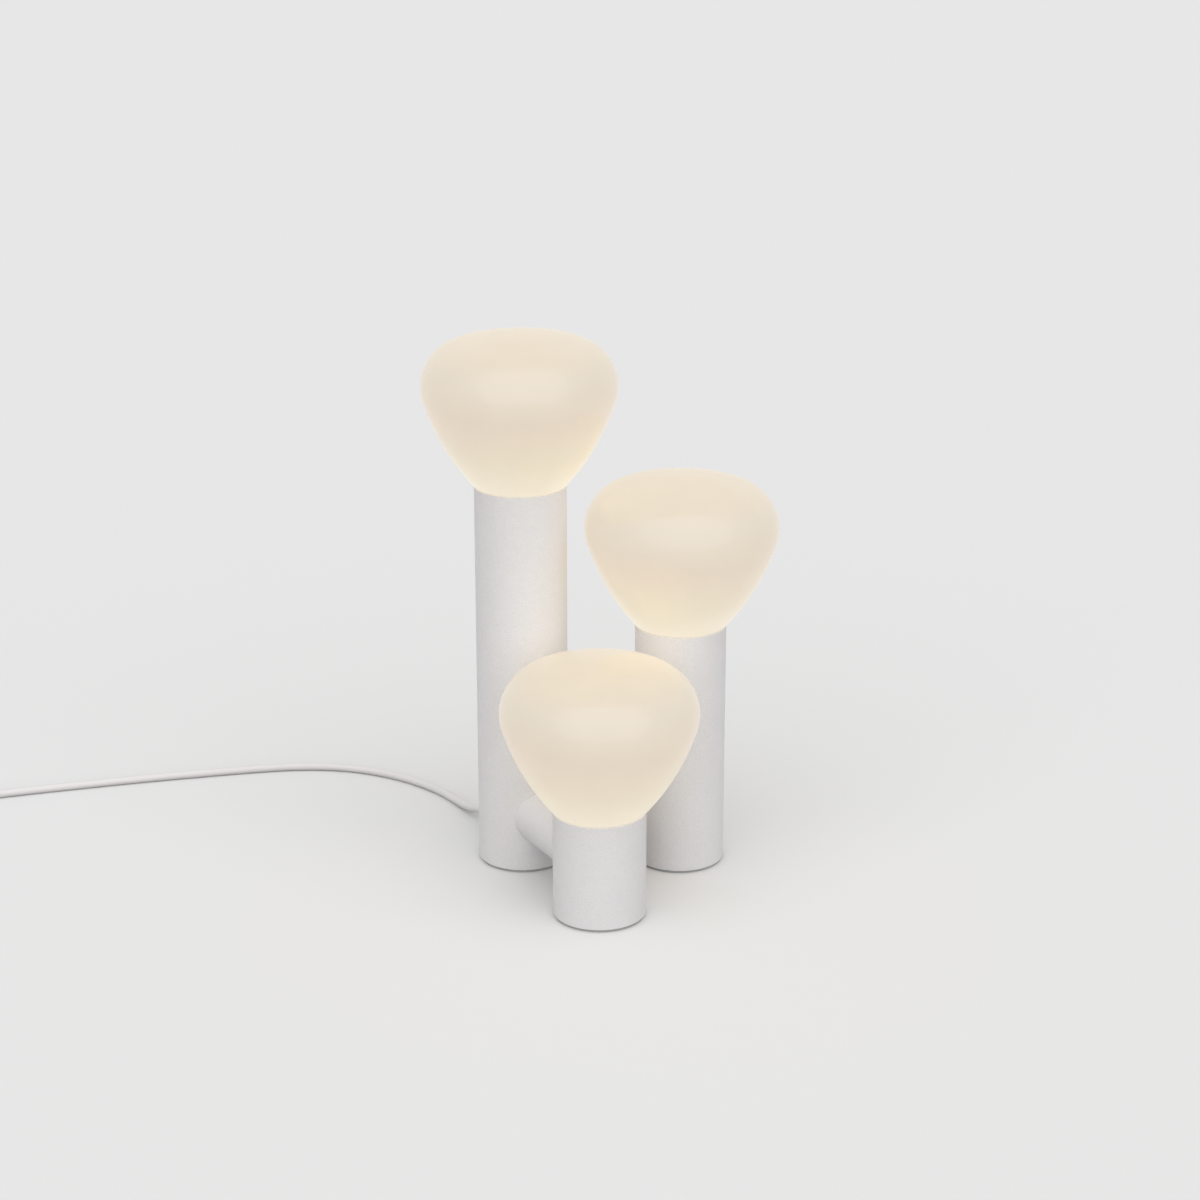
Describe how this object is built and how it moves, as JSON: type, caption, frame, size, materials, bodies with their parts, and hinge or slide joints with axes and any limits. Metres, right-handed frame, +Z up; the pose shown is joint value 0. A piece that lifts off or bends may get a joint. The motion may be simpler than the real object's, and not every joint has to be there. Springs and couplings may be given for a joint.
{
  "type": "table lamp",
  "caption": "Table lamp of upright coated steel tubes of stepped heights joined by short cross tubes, each tube topped by a tulip-shaped opal glass shade.",
  "frame": {"origin": "on the ground, under the middle of the box that the columns and shades fill together", "axes": "+Z up along the columns, +X from the tall column towards the medium one, the short column stands towards -Y"},
  "size_m": [0.8274, 0.3549, 0.4207],
  "materials": {
    "coated_steel": "fine-textured satin powder coat, warm white",
    "coated_flange": "powder coat over cast iron",
    "foot_rubber": "matt rubber sheet",
    "zinc_steel": "bright zinc plating",
    "ceramic": "glazed steatite ceramic",
    "bulb_glass": "frosted capsule glass",
    "opal_glass": "satin-etched opal glass",
    "silicone": "translucent silicone",
    "wire_sleeve": "white heat-resistant sleeve",
    "core_colours": "coloured core insulation",
    "earth_core": "green and yellow core insulation",
    "terminal_nylon": "natural nylon",
    "cord_white": "soft white cord jacket",
    "switch_white": "fine-grained moulded plastic",
    "brass": "plain brass",
    "plug_white": "moulded plug jacket",
    "nickel_blades": "nickel-plated brass",
    "tie_fabric": "woven hook-and-loop strap"
  },
  "bodies": {
    "stand": {"column_tube_short": "coated_steel", "base_weight_short": "coated_flange", "foot_pad_short": "foot_rubber", "tie_rod_short": "zinc_steel", "holder_plate_short": "zinc_steel", "holder_bracket_short": "zinc_steel", "lamp_holder_short": "ceramic", "lamp_lead_short": "wire_sleeve", "column_tube_medium": "coated_steel", "base_weight_medium": "coated_flange", "foot_pad_medium": "foot_rubber", "tie_rod_medium": "zinc_steel", "holder_plate_medium": "zinc_steel", "holder_bracket_medium": "zinc_steel", "lamp_holder_medium": "ceramic", "lamp_lead_medium": "wire_sleeve", "column_tube_tall": "coated_steel", "base_weight_tall": "coated_flange", "foot_pad_tall": "foot_rubber", "tie_rod_tall": "zinc_steel", "holder_plate_tall": "zinc_steel", "holder_bracket_tall": "zinc_steel", "lamp_holder_tall": "ceramic", "lamp_lead_tall": "wire_sleeve", "tie_rod_nuts": "zinc_steel", "holder_screws": "zinc_steel", "cross_tube_short": "coated_steel", "cross_tube_medium": "coated_steel", "cross_pipe_short": "zinc_steel", "cross_pipe_medium": "zinc_steel", "cross_pipe_nuts": "zinc_steel", "cross_pipe_saddles": "zinc_steel", "terminal_block": "terminal_nylon", "supply_cores": "core_colours", "earth_lead": "earth_core", "earth_screw": "zinc_steel", "strain_relief": "cord_white", "power_cord_lamp_side": "cord_white", "power_cord_coil_side": "cord_white", "power_cord_plug_side": "cord_white", "cord_coil": "cord_white", "cord_tie": "tie_fabric", "switch_top": "switch_white", "switch_bottom": "switch_white", "switch_contacts": "brass", "switch_screws": "zinc_steel", "plug_body": "plug_white", "plug_blades": "nickel_blades", "plug_earth_pin": "nickel_blades"},
    "shade_short": {"shade_short": "opal_glass", "shade_grip_ring_short": "silicone"},
    "bulb_short": {"bulb_short": "bulb_glass"},
    "shade_medium": {"shade_medium": "opal_glass", "shade_grip_ring_medium": "silicone"},
    "bulb_medium": {"bulb_medium": "bulb_glass"},
    "shade_tall": {"shade_tall": "opal_glass", "shade_grip_ring_tall": "silicone"},
    "bulb_tall": {"bulb_tall": "bulb_glass"},
    "rocker": {"switch_rocker": "switch_white"}
  },
  "joints": [
    {"name": "shade_lift_short", "type": "slide", "parent": "stand", "child": "shade_short", "axis": [0, 0, 1], "range_m": [0, 0.03]},
    {"name": "bulb_pull_short", "type": "slide", "parent": "stand", "child": "bulb_short", "axis": [0, 0, 1], "range_m": [0, 0.018]},
    {"name": "shade_lift_medium", "type": "slide", "parent": "stand", "child": "shade_medium", "axis": [0, 0, 1], "range_m": [0, 0.03]},
    {"name": "bulb_pull_medium", "type": "slide", "parent": "stand", "child": "bulb_medium", "axis": [0, 0, 1], "range_m": [0, 0.018]},
    {"name": "shade_lift_tall", "type": "slide", "parent": "stand", "child": "shade_tall", "axis": [0, 0, 1], "range_m": [0, 0.03]},
    {"name": "bulb_pull_tall", "type": "slide", "parent": "stand", "child": "bulb_tall", "axis": [0, 0, 1], "range_m": [0, 0.018]},
    {"name": "switch_rock", "type": "hinge", "parent": "stand", "child": "rocker", "pos_m": [-0.585, 0.039, 0.0126], "axis": [-1, 0, 0], "range_deg": [0, 24]}
  ]
}
